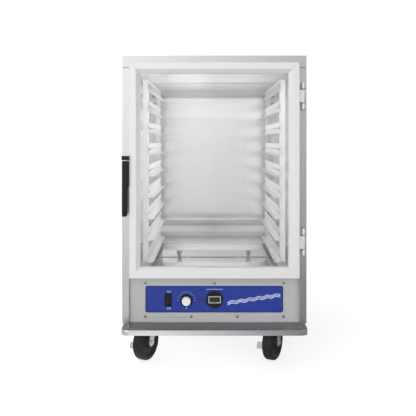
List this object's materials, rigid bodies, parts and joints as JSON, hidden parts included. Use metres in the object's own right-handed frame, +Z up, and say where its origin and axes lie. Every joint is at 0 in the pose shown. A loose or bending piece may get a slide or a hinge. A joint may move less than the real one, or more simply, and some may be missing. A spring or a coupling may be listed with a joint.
{
  "type": "heated holding cabinet",
  "caption": "Mobile heated holding cabinet with a framed clear door, tray slides, a recessed control panel and a wide base on swivel casters.",
  "frame": {"origin": "on the floor under the middle of the cabinet", "axes": "+Z up, the door and panel face -Y, +X to the hinge side"},
  "size_m": [0.638, 0.87, 1.077],
  "materials": {
    "body_aluminium": "satin sheet",
    "liner_steel": "bright satin sheet",
    "base_aluminium": "polished sheet",
    "door_aluminium": "fine satin",
    "zinc_steel": "bright zinc",
    "wheel_rubber": "moulded",
    "gasket_rubber": "soft",
    "black_plastic": "fine grain",
    "white_plastic": "gloss",
    "red_lens": "clear red",
    "dark_window": "smoked",
    "blue_overlay": "satin film",
    "clear_pane": "clear",
    "insulation_wool": "glass wool"
  },
  "bodies": {
    "cabinet": {"back_liner": "liner_steel", "back_skin": "body_aluminium", "base_channel": "base_aluminium", "base_pan": "base_aluminium", "base_screws": "zinc_steel", "caster_bolts": "zinc_steel", "caster_plates": "zinc_steel", "cavity_floor": "liner_steel", "ceiling_liner": "liner_steel", "control_panel": "body_aluminium", "cover_wing_screws": "zinc_steel", "fan_motor": "zinc_steel", "front_stiles": "body_aluminium", "front_top_rail": "body_aluminium", "heater_cover": "liner_steel", "heating_element": "zinc_steel", "hinge_frame_leaves": "zinc_steel", "insulation_slabs": "insulation_wool", "panel_brackets": "zinc_steel", "panel_overlay": "blue_overlay", "panel_screws": "zinc_steel", "pilot_lamp": "red_lens", "power_inlet": "black_plastic", "rack_uprights": "liner_steel", "side_liners": "liner_steel", "side_skins": "body_aluminium", "sill_rail": "body_aluminium", "slide_rivets": "zinc_steel", "strike_plate": "zinc_steel", "switch_housing": "black_plastic", "thermometer_bezel": "white_plastic", "thermometer_case": "black_plastic", "thermometer_window": "dark_window", "thermostat_body": "black_plastic", "top_skin": "body_aluminium", "tray_slides": "liner_steel"},
    "door": {"door_bottom_rail": "door_aluminium", "door_gasket": "gasket_rubber", "door_left_stile": "door_aluminium", "door_pane": "clear_pane", "door_right_stile": "door_aluminium", "door_top_rail": "door_aluminium", "hinge_door_leaves": "zinc_steel", "latch_base": "zinc_steel", "latch_cap": "black_plastic"},
    "latch_lever": {"latch_lever": "black_plastic"},
    "rocker": {"rocker": "black_plastic"},
    "knob": {"knob_skirt": "black_plastic", "knob_cap": "white_plastic"},
    "fan": {"fan_impeller": "zinc_steel"},
    "front_left_fork": {"front_left_fork": "zinc_steel"},
    "front_left_wheel": {"front_left_wheel": "wheel_rubber"},
    "front_right_fork": {"front_right_fork": "zinc_steel"},
    "front_right_wheel": {"front_right_wheel": "wheel_rubber"},
    "rear_left_fork": {"rear_left_fork": "zinc_steel"},
    "rear_left_wheel": {"rear_left_wheel": "wheel_rubber"},
    "rear_right_fork": {"rear_right_fork": "zinc_steel"},
    "rear_right_wheel": {"rear_right_wheel": "wheel_rubber"},
    "front_left_pedal": {"front_left_brake_pedal": "zinc_steel"},
    "front_right_pedal": {"front_right_brake_pedal": "zinc_steel"}
  },
  "joints": [
    {"name": "door_swing", "type": "hinge", "parent": "cabinet", "child": "door", "pos_m": [0.306, -0.38, 0.685], "axis": [0, 0, 1], "range_deg": [0, 180]},
    {"name": "latch_pull", "type": "hinge", "parent": "door", "child": "latch_lever", "pos_m": [-0.3015, -0.4007, 0.706], "axis": [-1, 0, 0], "range_deg": [0, 35], "stiffness_Nm_per_rad": 0.6, "springref_deg": -5.73},
    {"name": "power_rocker", "type": "hinge", "parent": "cabinet", "child": "rocker", "pos_m": [-0.1604, -0.3416, 0.2283], "axis": [1, 0, 0], "range_deg": [0, 16]},
    {"name": "thermostat_turn", "type": "hinge", "parent": "cabinet", "child": "knob", "pos_m": [-0.097, -0.352, 0.227], "axis": [0, 1, 0], "range_deg": [0, 270]},
    {"name": "fan_spin", "type": "hinge", "parent": "cabinet", "child": "fan", "pos_m": [0, -0.016, 0.346], "axis": [0, 0, 1], "continuous": true},
    {"name": "front_left_swivel", "type": "hinge", "parent": "cabinet", "child": "front_left_fork", "pos_m": [-0.227, -0.245, 0.138], "axis": [0, 0, 1], "continuous": true},
    {"name": "front_left_roll", "type": "hinge", "parent": "front_left_fork", "child": "front_left_wheel", "pos_m": [-0.24454, -0.28095, 0.0635], "axis": [-0.8988, 0.4384, 0], "continuous": true},
    {"name": "front_left_brake", "type": "hinge", "parent": "front_left_fork", "child": "front_left_pedal", "pos_m": [-0.24454, -0.28095, 0.0635], "axis": [0.8988, -0.4384, 0], "range_deg": [0, 20]},
    {"name": "front_right_swivel", "type": "hinge", "parent": "cabinet", "child": "front_right_fork", "pos_m": [0.227, -0.245, 0.138], "axis": [0, 0, 1], "continuous": true},
    {"name": "front_right_roll", "type": "hinge", "parent": "front_right_fork", "child": "front_right_wheel", "pos_m": [0.20947, -0.28095, 0.0635], "axis": [-0.8988, 0.4384, 0], "continuous": true},
    {"name": "front_right_brake", "type": "hinge", "parent": "front_right_fork", "child": "front_right_pedal", "pos_m": [0.20947, -0.28095, 0.0635], "axis": [0.8988, -0.4384, 0], "range_deg": [0, 20]},
    {"name": "rear_left_swivel", "type": "hinge", "parent": "cabinet", "child": "rear_left_fork", "pos_m": [-0.227, 0.262, 0.138], "axis": [0, 0, 1], "continuous": true},
    {"name": "rear_left_roll", "type": "hinge", "parent": "rear_left_fork", "child": "rear_left_wheel", "pos_m": [-0.24454, 0.22605, 0.0635], "axis": [-0.8988, 0.4384, 0], "continuous": true},
    {"name": "rear_right_swivel", "type": "hinge", "parent": "cabinet", "child": "rear_right_fork", "pos_m": [0.227, 0.262, 0.138], "axis": [0, 0, 1], "continuous": true},
    {"name": "rear_right_roll", "type": "hinge", "parent": "rear_right_fork", "child": "rear_right_wheel", "pos_m": [0.20947, 0.22605, 0.0635], "axis": [-0.8988, 0.4384, 0], "continuous": true}
  ]
}
